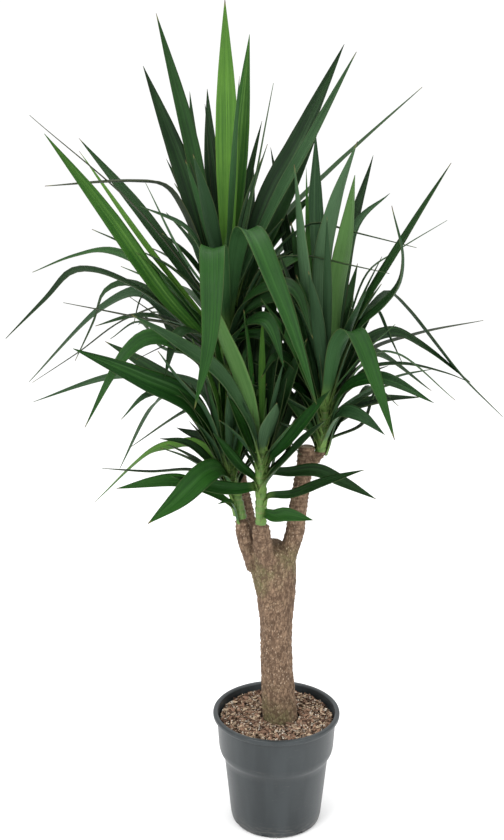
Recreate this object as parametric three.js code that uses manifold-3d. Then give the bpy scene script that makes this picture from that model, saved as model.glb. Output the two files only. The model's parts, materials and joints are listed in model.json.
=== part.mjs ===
// Potted yucca: nursery pot, potting mix, one branching trunk, four green shoots and
// fifty-two strap leaves.  Millimetres, +Z up, origin on the floor under the pot's centre.
import * as THREE from 'three';
import Module from 'manifold-3d';
import { mergeVertices } from 'three/addons/utils/BufferGeometryUtils.js';

const wasm = await Module();
wasm.setup();

// ---------------------------------------------------------------- driving sizes
const GAP = 0.5;              // clearance kept between neighbouring pieces
const SLIVER = 0.04;          // cuts leave no edge or height smaller than this
const POT = { height: 220, rim: 120, band: 112.5, bandLow: 108.5, neck: 99, foot: 86, wall: 3 };
const FLOOR = { disc: 30, recess: 5, ring: 66, thick: 3.5, hole: 7, holeAt: 48, holes: 8 };
const NOTCH = { count: 8, width: 12, height: 8 };
const SOIL = { top: 209, rise: 4, edge: 2 };
const LEAF = { stations: 13, thick: 3.0, gutter: 0.24, start: 13.5 };
const EYE = new THREE.Vector3(-46, -1904, 1248);   // set-out point for the leaf routes

const PLASTIC = { color: 0x3c4446, roughness: 0.42 };
const MIX = { color: 0x6b5340, roughness: 0.95 };
const BARK = { color: 0x8a705c, roughness: 0.9 };
const GREEN = { color: 0x86a552, roughness: 0.55 };
const BLADES = [0x2f5a33, 0x3c7037, 0x4f7a55, 0x78a546].map((color) => ({ color, roughness: 0.5 }));

// ---------------------------------------------------------------- solids
const toSolid = (geometry) => {
  const g = geometry.index ? geometry : geometry.clone();
  g.deleteAttribute('normal');
  g.deleteAttribute('uv');
  const m = mergeVertices(g, 1e-4);
  const vertProperties = new Float32Array(m.attributes.position.array);
  const corners = m.index.array;
  const keep = [];
  for (let i = 0; i < corners.length; i += 3) {
    const [a, b, c] = corners.slice(i, i + 3);
    if (a !== b && b !== c && c !== a) keep.push(a, b, c);
  }
  const triVerts = new Uint32Array(keep);
  return new wasm.Manifold(new wasm.Mesh({ numProp: 3, vertProperties, triVerts }));
};

const toGeometry = (solid) => {
  const mesh = solid.getMesh();
  const g = new THREE.BufferGeometry();
  g.setAttribute('position', new THREE.BufferAttribute(new Float32Array(mesh.vertProperties), 3));
  g.setIndex(new THREE.BufferAttribute(new Uint32Array(mesh.triVerts), 1));
  g.computeVertexNormals();
  return g;
};

/** The biggest single body left after a cut, with the cut's slivers taken up. */
const biggest = (solid) => solid.decompose()
  .reduce((a, b) => (b.volume() > a.volume() ? b : a)).simplify(SLIVER);

const overlap = (a, b) => {
  const p = a.boundingBox();
  const q = b.boundingBox();
  return [0, 1, 2].every((k) => p.min[k] < q.max[k] && q.min[k] < p.max[k]);
};

const group = new THREE.Group();
const add = (name, solid, look) => {
  const material = new THREE.MeshStandardMaterial({ metalness: 0, ...look });
  const mesh = new THREE.Mesh(toGeometry(solid), material);
  mesh.name = name;
  group.add(mesh);
};

/**
 * Closed skin over rings of points, fanned shut at both ends, or run to a point.  On a thin
 * blade the second half of each ring is split the mirrored way, so its two faces never cross.
 */
const skin = (rings, tipped, blade = false) => {
  const n = rings[0].length;
  const position = rings.flat().flatMap((p) => [p.x, p.y, p.z]);
  const index = [];
  for (let i = 0; i + 1 < rings.length; i += 1) {
    for (let j = 0; j < n; j += 1) {
      const a = i * n + j;
      const b = i * n + ((j + 1) % n);
      if (blade && j >= n / 2) index.push(a, b, a + n, b, b + n, a + n);
      else index.push(a, b, b + n, a, b + n, a + n);
    }
  }
  const last = (rings.length - 1) * n;
  for (let j = 1; j + 1 < n; j += 1) index.push(0, j + 1, j);
  if (tipped) {
    position.push(tipped.x, tipped.y, tipped.z);
    for (let j = 0; j < n; j += 1) index.push(last + j, last + ((j + 1) % n), rings.length * n);
  } else {
    for (let j = 1; j + 1 < n; j += 1) index.push(last, last + j, last + j + 1);
  }
  const g = new THREE.BufferGeometry();
  g.setAttribute('position', new THREE.Float32BufferAttribute(position, 3));
  g.setIndex(index);
  return toSolid(g);
};

const v = (x, y, z) => new THREE.Vector3(x, y, z);
const lathe = (profile, segments) =>
  toSolid(new THREE.LatheGeometry([...profile, profile[0]].map(([r, z]) => new THREE.Vector2(r, z)),
    segments).rotateX(Math.PI / 2));

// ---------------------------------------------------------------- pot
/** Rounded lip, straight band, swept-in neck, tapering body, ringed foot with drain holes. */
const nurseryPot = () => {
  const { height: h, rim, band, bandLow, neck, foot, wall } = POT;
  const outer = [[FLOOR.ring, 0], [foot - 7, 0], [foot - 2.5, 2], [foot, 7], [neck - 1.5, 116],
    [neck, 128], [bandLow - 3, 140], [bandLow, 150], [band, h - 11], [band + 2.5, h - 9],
    [rim - 1, h - 8], [rim, h - 6], [rim, h - 2.5], [rim - 1.5, h - 0.5], [rim - 3.5, h]];
  const inner = [[band - 0.5, h], [band - wall, h - 2.5], [band - wall, h - 12],
    [bandLow - wall, 150], [neck - wall, 129], [neck - wall - 1.5, 116],
    [foot - wall, FLOOR.recess + FLOOR.thick + 2],
    [foot - wall - 3, FLOOR.recess + FLOOR.thick], [0, FLOOR.recess + FLOOR.thick]];
  const under = [[0, 0], [FLOOR.disc, 0], [FLOOR.disc + 3, FLOOR.recess],
    [FLOOR.ring - 3, FLOOR.recess]];
  let pot = lathe([...outer, ...inner, ...under], 44);
  const cut = (solid, radius, angle, z) => solid.translate([radius, 0, z]).rotate([0, 0, angle]);
  for (let i = 0; i < FLOOR.holes; i += 1) {
    const drill = wasm.Manifold.cylinder(20, FLOOR.hole, FLOOR.hole, 12, true);
    pot = pot.subtract(cut(drill, FLOOR.holeAt, (i * 360) / FLOOR.holes, 5));
  }
  for (let i = 0; i < NOTCH.count; i += 1) {
    const slot = wasm.Manifold.cube([16, NOTCH.width, NOTCH.height], true);
    pot = pot.subtract(cut(slot, foot + 4, 30 + (i * 360) / NOTCH.count, NOTCH.height / 2 - 0.5));
  }
  return pot;
};

// ---------------------------------------------------------------- trunk
/** Woody limb through [x, y, z, half width, half depth] stations, slightly lumpy. */
const limb = (stations, seed) => {
  const rings = stations.map(([x, y, z, rx, ry], i) => {
    const ring = [];
    for (let j = 0; j < 14; j += 1) {
      const a = (j / 14) * 2 * Math.PI;
      const lump = 1 + 0.035 * Math.sin(3 * a + seed + i * 0.9) + 0.02 * Math.sin(5 * a - seed * 2 + i);
      ring.push(v(x + rx * lump * Math.cos(a), y + ry * lump * Math.sin(a), z));
    }
    return ring;
  });
  return skin(rings, null);
};

const STOCK = [[4, 0, 118, 24, 24], [5, 0, 124, 30, 30], [7, 0, 160, 35, 34], [7, 0, 195, 34, 33],
  [5, 0, 250, 32, 31], [2, 0, 300, 31, 30], [0, 0, 350, 30, 29], [-1, 1, 400, 31, 29],
  [-3, 3, 450, 36, 31], [-8, 6, 500, 43, 34], [-10, 8, 528, 44, 37], [-12, 10, 543, 36, 32],
  [-14, 12, 552, 22, 20]];
const FRONT_ARM = [[-18, -4, 480, 16, 20], [-22, -14, 520, 19, 20], [-26, -24, 556, 18, 17],
  [-29, -32, 585, 17, 15], [-30, -35, 598, 15, 13], [-30, -36, 603, 10, 9]];
const LEFT_STUB = [[-40, 4, 500, 16, 20], [-54, 0, 545, 16, 20], [-61, -6, 580, 15, 17],
  [-63, -10, 600, 13, 14], [-64, -11, 607, 8, 9]];
const RIGHT_ARM = [[6, 2, 480, 22, 22], [20, 2, 530, 19, 20], [33, 2, 575, 17, 18],
  [36, 2, 610, 17, 17.5], [41, 2, 655, 16, 16], [48, 2, 700, 15, 15], [51, 2, 730, 15.5, 15],
  [52, 2, 736, 14.5, 14]];
const BACK_ARM = [[-30, 20, 500, 18, 18], [-52, 36, 570, 17, 18], [-68, 44, 640, 16, 16],
  [-82, 47, 720, 15, 15], [-90, 48, 800, 14, 14], [-92, 48, 862, 13, 13], [-92, 48, 868, 9, 9]];
const RIGHT_SPUR = [[52, 1, 690, 9, 9], [67, 0, 711, 10, 10], [78, 0, 724, 9.5, 9.5],
  [78, 0, 727, 7, 7]];

const trunkSolid = (grow = 0) => {
  const fat = (row) => row.map(([x, y, z, rx, ry]) => [x, y, z, rx + grow, ry + grow]);
  return biggest([LEFT_STUB, FRONT_ARM, RIGHT_ARM, BACK_ARM, RIGHT_SPUR]
    .reduce((sum, row, i) => sum.add(limb(fat(row), i * 1.7 + 1)), limb(fat(STOCK), 0.4)));
};

// ---------------------------------------------------------------- potting mix
/** Fills the pot to just under the rim; bored for the buried end of the trunk. */
const pottingMix = (trunk) => {
  const { bandLow, neck, foot, wall } = POT;
  const r = (radius) => radius - wall - GAP;
  const base = FLOOR.recess + FLOOR.thick + GAP;
  const bumps = [0, 14, 30, 46, 62, 78, 92, 102].map((rad, i) =>
    [rad, SOIL.top + SOIL.rise * Math.cos(i * 1.9) * 0.5 - (rad / 102) * SOIL.edge]);
  const side = [[r(band(205)) - 1.5, SOIL.top - 5], [r(bandLow), 150.5], [r(neck), 129.5],
    [r(neck) - 1.5, 116.5], [r(foot), base + 3], [r(foot) - 3, base], [0, base]];
  let mix = lathe([...bumps, ...side].reverse(), 44);
  const socket = limb(STOCK.slice(0, 5).map(([x, y, z, rx, ry], i) =>
    [x, y, i === 0 ? z - 1 : z, rx + GAP + 0.4, ry + GAP + 0.4]), 0.4);
  mix = mix.subtract(socket);
  if (mix.intersect(trunk).volume() > 0.001) throw new Error('trunk touches the mix');
  return mix;
};

/** Inside face of the pot's upper band at height z. */
function band(z) {
  return POT.bandLow + ((POT.band - POT.bandLow) * (z - 150)) / (POT.height - 11 - 150);
}

// ---------------------------------------------------------------- shoots
// foot and crown of each green shoot's axis, and its foot radius
const SHOOTS = {
  left: { foot: [-65, -14, 608.5], crown: [-92, -18, 730], radius: 10 },
  front: { foot: [-30, -37, 604.5], crown: [-30, -52, 775], radius: 10.5 },
  right: { foot: [78, 0, 728], crown: [88, 4, 890], radius: 9.5 },
  top: { foot: [-92, 47, 869.5], crown: [-92, 50, 1040], radius: 11 },
};

/** Green stem carrying the leaf bases, drawn out into a closed spear at the crown. */
const shootSolid = ({ foot, crown, radius }, grow = 0) => {
  const a = v(...foot);
  const b = v(...crown);
  const shares = [[0, 0.7], [0.03, 0.95], [0.25, 1], [0.5, 0.92], [0.75, 0.85], [0.95, 0.7], [1.15, 0.42]];
  const rings = shares.map(([s, k]) => {
    const c = a.clone().lerp(b, s);
    return Array.from({ length: 12 }, (_, j) => {
      const t = (j / 12) * 2 * Math.PI;
      const rad = radius * k + grow;
      return v(c.x + rad * Math.cos(t), c.y + rad * Math.sin(t), c.z - (s === 0 ? grow : 0));
    });
  });
  return skin(rings, a.clone().lerp(b, 1.4).add(v(0, 0, grow)));
};

// ---------------------------------------------------------------- leaves
// shoot, share of the way up it, width, turn about the blade's own line, tint, then the route:
// points [x, depth, z] laid out on the plant's middle plane as seen from EYE
const LEAVES = [
  ['top', 0.95, 40, 0, 3, [-88, 70, 1250], [-90, 90, 1487]],
  ['top', 0.90, 34, 10, 3, [-68, 100, 1230], [-50, 150, 1432]],
  ['top', 0.80, 30, 50, 0, [-150, 50, 1262], [-202, 70, 1465]],
  ['top', 0.70, 36, 60, 0, [-160, 40, 1205], [-225, 80, 1383]],
  ['top', 0.10, 36, 75, 3, [-196, -20, 1000], [-299, -80, 1150], [-392, -150, 1275]],
  ['top', 0.45, 24, 60, 0, [-221, 90, 1130], [-335, 170, 1268]],
  ['top', 0.60, 26, 0, 0, [-165, -10, 1150], [-195, -30, 1190], [-240, -50, 1197], [-395, -110, 1190]],
  ['top', 0.85, 28, 10, 0, [-112, 120, 1200], [-120, 200, 1347]],
  ['top', 0.75, 36, 65, 0, [-20, 50, 1170], [30, 70, 1262], [105, 90, 1417]],
  ['top', 0.65, 34, 70, 2, [-10, -50, 1150], [56, -120, 1270], [125, -190, 1405]],
  ['top', 0.35, 41, 0, 1, [-106, -80, 1072], [-113, -130, 1084], [-114, -165, 1046],
    [-120, -200, 925], [-148, -220, 803]],
  ['top', 0.40, 40, 0, 1, [-62, -70, 1108], [-46, -120, 1112], [-6, -190, 1022],
    [31, -240, 926], [68, -270, 812]],
  ['top', 0.20, 26, 20, 1, [-210, 100, 1040], [-290, 150, 1080], [-350, 180, 1072],
    [-423, 210, 1045]],
  ['top', 0.05, 26, 25, 0, [-200, -30, 985], [-262, -70, 1026], [-320, -110, 1047],
    [-356, -130, 1044], [-400, -150, 1000], [-475, -180, 930]],
  ['top', 0.00, 30, 40, 2, [-180, 70, 955], [-225, 100, 1005], [-248, 115, 1010], [-310, 150, 978],
    [-438, 200, 853]],
  ['top', 0.55, 22, 0, 0, [0, 110, 1125], [90, 180, 1218], [235, 260, 1350]],
  ['top', 0.50, 40, 0, 1, [-95, 140, 1110], [-100, 250, 1160], [-110, 350, 1110]],
  ['left', 0.95, 36, 45, 1, [-135, -40, 880], [-190, -70, 925], [-225, -85, 930], [-262, -100, 905],
    [-343, -140, 770]],
  ['left', 0.60, 46, 65, 1, [-155, -60, 812], [-240, -110, 858], [-358, -160, 912]],
  ['left', 0.75, 32, 55, 0, [-150, 30, 815], [-225, 60, 878], [-302, 100, 925]],
  ['left', 0.85, 32, 35, 0, [-130, -70, 800], [-178, -120, 860], [-210, -170, 908]],
  ['left', 0.45, 28, 30, 2, [-150, 60, 798], [-190, 105, 828], [-215, 125, 815], [-283, 180, 695]],
  ['left', 0.35, 28, 30, 3, [-110, 20, 710], [-152, 50, 740], [-180, 70, 737], [-225, 100, 725],
    [-330, 150, 632]],
  ['left', 0.15, 30, 35, 1, [-120, -20, 648], [-180, -40, 670], [-290, -80, 657]],
  ['left', 0.50, 42, 50, 1, [-105, -70, 692], [-130, -115, 685], [-180, -180, 635],
    [-235, -250, 590]],
  ['left', 0.80, 26, 35, 2, [-130, 100, 835], [-220, 180, 862], [-290, 230, 862], [-432, 290, 817]],
  ['left', 0.65, 34, 0, 1, [-85, 70, 760], [-80, 160, 820], [-70, 290, 770]],
  ['front', 0.98, 13, 60, 3, [-29, -60, 870], [-28, -60, 977]],
  ['front', 0.90, 46, 5, 3, [-60, -80, 830], [-97, -120, 930], [-132, -160, 1032]],
  ['front', 0.80, 34, 60, 2, [-55, -95, 785], [-105, -130, 868], [-180, -170, 925],
    [-255, -210, 972]],
  ['front', 0.88, 40, 10, 2, [-8, -85, 785], [-2, -100, 815]],
  ['front', 0.65, 34, 65, 1, [20, -95, 745], [60, -140, 795], [92, -190, 838]],
  ['front', 0.45, 32, 50, 0, [25, -120, 722], [82, -220, 782]],
  ['front', 0.30, 24, 40, 0, [25, -65, 645], [85, -100, 668], [155, -140, 692]],
  ['front', 0.55, 26, 50, 0, [20, -40, 687], [70, -40, 690], [115, -45, 670], [178, -50, 637]],
  ['front', 0.12, 26, 60, 1, [-5, -70, 605], [20, -95, 607], [65, -120, 597]],
  ['front', 0.40, 30, 45, 1, [-75, -70, 655], [-140, -110, 663], [-190, -150, 680]],
  ['right', 0.70, 28, 45, 0, [140, -20, 970], [195, -60, 1068], [288, -110, 1228]],
  ['right', 0.60, 34, 50, 0, [135, -30, 940], [185, -60, 990], [209, -80, 1025], [213, -90, 1075],
    [190, -100, 1157]],
  ['right', 0.65, 24, 20, 0, [150, 50, 965], [192, 80, 1008], [215, 95, 990], [320, 150, 865],
    [398, 190, 790]],
  ['right', 0.40, 18, 0, 0, [150, 80, 900], [240, 150, 937], [355, 230, 962]],
  ['right', 0.50, 26, 40, 0, [150, 60, 920], [200, 90, 940], [245, 110, 920], [338, 160, 852]],
  ['right', 0.55, 40, 0, 1, [106, -70, 920], [128, -115, 942], [143, -140, 920], [175, -180, 838],
    [208, -200, 747]],
  ['right', 0.25, 30, 45, 1, [120, -35, 840], [180, -80, 858], [275, -140, 815]],
  ['right', 0.10, 24, 35, 0, [120, 20, 800], [180, 40, 820], [248, 60, 826]],
  ['right', 0.15, 30, 40, 2, [115, -50, 797], [145, -80, 790], [190, -120, 757]],
  ['right', 0.35, 26, 40, 0, [130, 70, 890], [165, 120, 905], [270, 210, 837]],
  ['right', 0.90, 42, 15, 3, [100, -10, 1000], [115, -40, 1100], [127, -80, 1208]],
  ['right', 0.85, 34, 5, 2, [75, -40, 1050], [95, -80, 1160], [130, -120, 1263]],
  ['right', 0.95, 36, 5, 2, [62, 50, 1080], [60, 80, 1276]],
  ['right', 0.80, 30, 20, 2, [45, -50, 1020], [35, -80, 1110], [25, -110, 1225]],
  ['right', 0.75, 30, 60, 0, [115, 70, 1090], [157, 130, 1240]],
  ['right', 0.60, 36, 0, 1, [95, 90, 950], [110, 190, 1020], [130, 320, 980]],
];

/** Half width along the blade: clasping foot, widest past the middle, drawn-out point. */
const PROFILE = [[0, 0.62], [0.08, 0.55], [0.2, 0.62], [0.4, 0.9], [0.6, 1], [0.8, 0.72],
  [0.92, 0.36], [1, 0.02]];
const share = (u) => {
  const k = Math.max(1, PROFILE.findIndex(([p]) => p >= u));
  const [[p, a], [q, b]] = [PROFILE[k - 1], PROFILE[k]];
  return a + ((b - a) * (u - p)) / (q - p);
};

/** Carries a route point off the middle plane by its depth, along the line from EYE. */
const settle = ([x, y, z]) => v(x, 0, z).sub(EYE).multiplyScalar(1 + y / -EYE.y).add(EYE);

const route = ([shoot, along, , , , ...points]) => {
  const { foot, crown } = SHOOTS[shoot];
  const base = v(...foot).lerp(v(...crown), along);
  const path = points.map(settle);
  const out = path[0].clone().sub(base).setZ(0);
  if (out.length() > 1) out.normalize();
  return new THREE.CatmullRomCurve3([base.addScaledVector(out, LEAF.start), ...path], false,
    'centripetal');
};

/** One strap leaf: shallow gutter section, thin edges, tapering to a point. */
const leafSolid = (row, grow = 0) => {
  const curve = route(row);
  const [, , width, turn] = row;
  const chord = curve.getPointAt(1).sub(curve.getPointAt(0)).normalize();
  const side = chord.clone().cross(v(0, 0, 1)).normalize();
  const angle = THREE.MathUtils.degToRad(turn) * (chord.x < 0 ? -1 : 1);
  side.applyAxisAngle(chord, angle);
  const rings = [];
  for (let i = 0; i < LEAF.stations; i += 1) {
    const u = (i / LEAF.stations) ** 0.92;
    const t = curve.getTangentAt(u);
    const s = side.clone().addScaledVector(t, -side.dot(t)).normalize();
    const n = s.clone().cross(t);
    const h = (width / 2) * share(u) + grow;
    const half = (LEAF.thick / 2) * (1 - 0.65 * u) + grow;
    const c = curve.getPointAt(u).addScaledVector(t, i === 0 ? -grow : 0);
    const lift = h * LEAF.gutter;
    rings.push([[-h, lift], [0, half], [h, lift], [0, -half]]
      .map(([across, up]) => c.clone().addScaledVector(s, across).addScaledVector(n, up)));
  }
  return skin(rings, curve.getPointAt(1), true);
};

// ---------------------------------------------------------------- assembly
const trunk = trunkSolid();
add('nursery_pot', nurseryPot(), PLASTIC);
add('potting_mix', pottingMix(trunk), MIX);
add('trunk', trunk, BARK);

const placed = [trunkSolid(GAP)];
for (const [name, shoot] of Object.entries(SHOOTS)) {
  add(`${name}_shoot`, shootSolid(shoot), GREEN);
  placed.push(shootSolid(shoot, GAP));
}
const counts = {};
for (const row of LEAVES) {
  const [shoot, , , , tint] = row;
  counts[shoot] = (counts[shoot] ?? 0) + 1;
  let blade = leafSolid(row);
  for (const other of placed) if (overlap(blade, other)) blade = blade.subtract(other);
  blade = biggest(blade);
  placed.push(leafSolid(row, GAP));
  add(`${shoot}_leaf_${String(counts[shoot]).padStart(2, '0')}`, blade, BLADES[tint]);
}

export default group;
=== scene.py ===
"""A branching potted yucca in a round nursery pot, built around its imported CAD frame."""

import json
import logging
import math
import random
from dataclasses import dataclass, field
from enum import Enum
from typing import Sequence

import bmesh
import bpy
from mathutils import Matrix, Vector, noise

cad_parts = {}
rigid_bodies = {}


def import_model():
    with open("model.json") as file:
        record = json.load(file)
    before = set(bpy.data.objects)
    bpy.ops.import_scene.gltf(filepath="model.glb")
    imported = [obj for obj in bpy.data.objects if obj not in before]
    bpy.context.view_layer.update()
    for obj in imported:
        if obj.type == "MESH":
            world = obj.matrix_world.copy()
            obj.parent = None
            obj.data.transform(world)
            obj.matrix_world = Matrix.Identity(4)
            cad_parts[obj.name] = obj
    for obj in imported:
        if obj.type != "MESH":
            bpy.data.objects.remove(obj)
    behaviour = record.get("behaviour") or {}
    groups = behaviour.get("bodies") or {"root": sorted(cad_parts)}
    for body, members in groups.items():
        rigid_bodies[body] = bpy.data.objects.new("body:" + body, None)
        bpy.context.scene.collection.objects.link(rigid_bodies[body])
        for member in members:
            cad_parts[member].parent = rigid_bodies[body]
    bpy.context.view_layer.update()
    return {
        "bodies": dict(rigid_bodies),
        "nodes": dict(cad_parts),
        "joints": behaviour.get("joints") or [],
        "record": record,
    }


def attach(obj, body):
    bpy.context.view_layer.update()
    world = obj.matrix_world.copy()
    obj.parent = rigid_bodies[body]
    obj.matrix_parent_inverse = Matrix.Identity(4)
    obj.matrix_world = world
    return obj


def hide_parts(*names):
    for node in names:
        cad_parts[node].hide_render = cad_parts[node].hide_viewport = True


LOG = logging.getLogger("potted_yucca")
MM = 0.001
UP = Vector((0.0, 0.0, 1.0))
Colour = tuple[float, float, float]


# ------------------------------------------------------------------ small maths
def lerp(a: float, b: float, t: float) -> float:
    """Returns the value a share t of the way from a to b."""
    return a + (b - a) * t


def ramp(x: float, low: float, high: float) -> float:
    """Returns 0 below low and 1 above high, eased between them."""
    t = min(1.0, max(0.0, (x - low) / (high - low)))
    return t * t * (3.0 - 2.0 * t)


def table(pairs: Sequence[tuple[float, float]], x: float) -> float:
    """Reads a piecewise straight curve.

    Args:
        pairs: The curve's corners, in rising order.
        x: Where to read it.

    Returns:
        The curve's height at x.
    """
    for (x0, y0), (x1, y1) in zip(pairs, pairs[1:]):
        if x <= x1:
            return lerp(y0, y1, max(0.0, (x - x0) / (x1 - x0)))
    return pairs[-1][1]


# ------------------------------------------------------------------ shader wiring
class Wire:
    """A shader socket that can be used in ordinary expressions."""

    def __init__(self, paint: "Paint", socket: bpy.types.NodeSocket) -> None:
        """Wraps an output socket of a material that is being painted."""
        self.paint = paint
        self.socket = socket

    def _math(self, operation: str, *values: "Wire | float") -> "Wire":
        """Returns the output of a new Math node fed with these values."""
        return self.paint.node("ShaderNodeMath", {"operation": operation}, dict(enumerate(values)))

    def __add__(self, other: "Wire | float") -> "Wire":
        """Returns self + other."""
        return self._math("ADD", self, other)

    __radd__ = __add__

    def __sub__(self, other: "Wire | float") -> "Wire":
        """Returns self - other."""
        return self._math("SUBTRACT", self, other)

    def __rsub__(self, other: float) -> "Wire":
        """Returns other - self."""
        return self._math("SUBTRACT", other, self)

    def __mul__(self, other: "Wire | float") -> "Wire":
        """Returns self * other."""
        return self._math("MULTIPLY", self, other)

    __rmul__ = __mul__

    def magnitude(self) -> "Wire":
        """Returns the value without its sign."""
        return self._math("ABSOLUTE", self)

    def sine(self) -> "Wire":
        """Returns the sine of the value."""
        return self._math("SINE", self)

    def step(self, low: float, high: float) -> "Wire":
        """Returns 0 below low and 1 above high, eased between; low may be the larger."""
        return self.paint.node("ShaderNodeMapRange", {"interpolation_type": "SMOOTHSTEP"},
                               {"Value": self, "From Min": low, "From Max": high})


class Paint:
    """One material with its nodes, seen through a few short methods."""

    def __init__(self, name: str) -> None:
        """Starts an empty material with a Principled shader.

        Args:
            name: The material's name.
        """
        self.material = bpy.data.materials.new(name)
        self.material.use_nodes = True
        self.tree = self.material.node_tree
        self.tree.nodes.clear()
        self.shader = self.tree.nodes.new("ShaderNodeBsdfPrincipled")
        output = self.tree.nodes.new("ShaderNodeOutputMaterial")
        self.tree.links.new(self.shader.outputs["BSDF"], output.inputs["Surface"])

    def _feed(self, socket: bpy.types.NodeSocket, value: object) -> None:
        """Links a wire to a socket, or sets the socket to a plain value."""
        if isinstance(value, Wire):
            self.tree.links.new(value.socket, socket)
        elif isinstance(value, tuple) and len(value) == 3 and socket.type == "RGBA":
            socket.default_value = (*value, 1.0)
        else:
            socket.default_value = value

    def node(self, kind: str, settings: dict[str, object] | None = None,
             inputs: dict[object, object] | None = None, output: object = 0) -> Wire:
        """Adds any node.

        Args:
            kind: The node's type.
            settings: Attributes set first; a list under "stops" fills a colour ramp.
            inputs: Values or wires by socket name or number.
            output: Name or number of the output that is wanted.

        Returns:
            The wire on that output.
        """
        made = self.tree.nodes.new(kind)
        for key, value in (settings or {}).items():
            if key == "stops":
                stops = made.color_ramp.elements
                while len(stops) < len(value):
                    stops.new(0.5)
                for stop, (place, colour) in zip(stops, value):
                    stop.position = place
                    stop.color = (*colour, 1.0)
            else:
                setattr(made, key, value)
        for key, value in (inputs or {}).items():
            self._feed(made.inputs[key], value)
        return Wire(self, made.outputs[output])

    def place(self) -> Wire:
        """Returns the piece's own coordinates, in metres."""
        return self.node("ShaderNodeTexCoord", output="Object")

    def chart(self) -> tuple[Wire, Wire]:
        """Returns the piece's UV map as two wires, along and across."""
        uv = self.node("ShaderNodeUVMap", {"uv_map": "UVMap"})
        split = self.tree.nodes.new("ShaderNodeSeparateXYZ")
        self._feed(split.inputs[0], uv)
        return Wire(self, split.outputs[0]), Wire(self, split.outputs[1])

    def axes(self, vector: Wire) -> tuple[Wire, Wire, Wire]:
        """Returns a vector's three parts."""
        split = self.tree.nodes.new("ShaderNodeSeparateXYZ")
        self._feed(split.inputs[0], vector)
        return tuple(Wire(self, split.outputs[i]) for i in range(3))

    def vector(self, x: Wire | float, y: Wire | float, z: Wire | float = 0.0) -> Wire:
        """Returns a vector made of three parts."""
        return self.node("ShaderNodeCombineXYZ", None, {0: x, 1: y, 2: z})

    def stretch(self, vector: Wire, scale: Colour) -> Wire:
        """Returns a vector with each part multiplied by its own scale."""
        return self.node("ShaderNodeMapping", None, {"Vector": vector, "Scale": scale})

    def grain(self, where: Wire, scale: float, detail: float = 3.0, rough: float = 0.55) -> Wire:
        """Returns soft fractal noise, about 0 to 1."""
        return self.node("ShaderNodeTexNoise", None, {"Vector": where, "Scale": scale,
                                                      "Detail": detail, "Roughness": rough})

    def cells(self, where: Wire, scale: float) -> Wire:
        """Returns the distance to the nearest of many scattered points."""
        return self.node("ShaderNodeTexVoronoi", None, {"Vector": where, "Scale": scale},
                         "Distance")

    def blend(self, share: Wire | float, a: Wire | Colour, b: Wire | Colour) -> Wire:
        """Returns colour a turned into colour b by share."""
        mix = self.tree.nodes.new("ShaderNodeMix")
        mix.data_type = "RGBA"
        self._feed(mix.inputs["Factor"], share)
        self._feed(mix.inputs[6], a)
        self._feed(mix.inputs[7], b)
        return Wire(self, mix.outputs[2])

    def finish(self, bump: Wire | None = None, depth: float = 0.001, **sockets: object
               ) -> bpy.types.Material:
        """Feeds the shader and closes the material.

        Args:
            bump: Height pattern from 0 to 1, if the surface has relief.
            depth: The relief's depth in metres.
            **sockets: Shader sockets, with an underscore for each space.

        Returns:
            The finished material.
        """
        for key, value in sockets.items():
            self._feed(self.shader.inputs[key.replace("_", " ")], value)
        if bump is not None:
            normal = self.node("ShaderNodeBump", None,
                               {"Height": bump, "Distance": depth, "Strength": 1.0}, "Normal")
            self._feed(self.shader.inputs["Normal"], normal)
        return self.material


# ------------------------------------------------------------------ finishes
class Tint(Enum):
    """The leaf colours found on the plant, by material slot."""

    DEEP = "leaf_deep"
    MID = "leaf_mid"
    GREY = "leaf_grey"
    BRIGHT = "leaf_bright"
    DRY = "leaf_drying"

    @property
    def slot(self) -> str:
        """The record's slot: a drying leaf was a deep green one."""
        return Tint.DEEP.value if self is Tint.DRY else self.value


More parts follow.
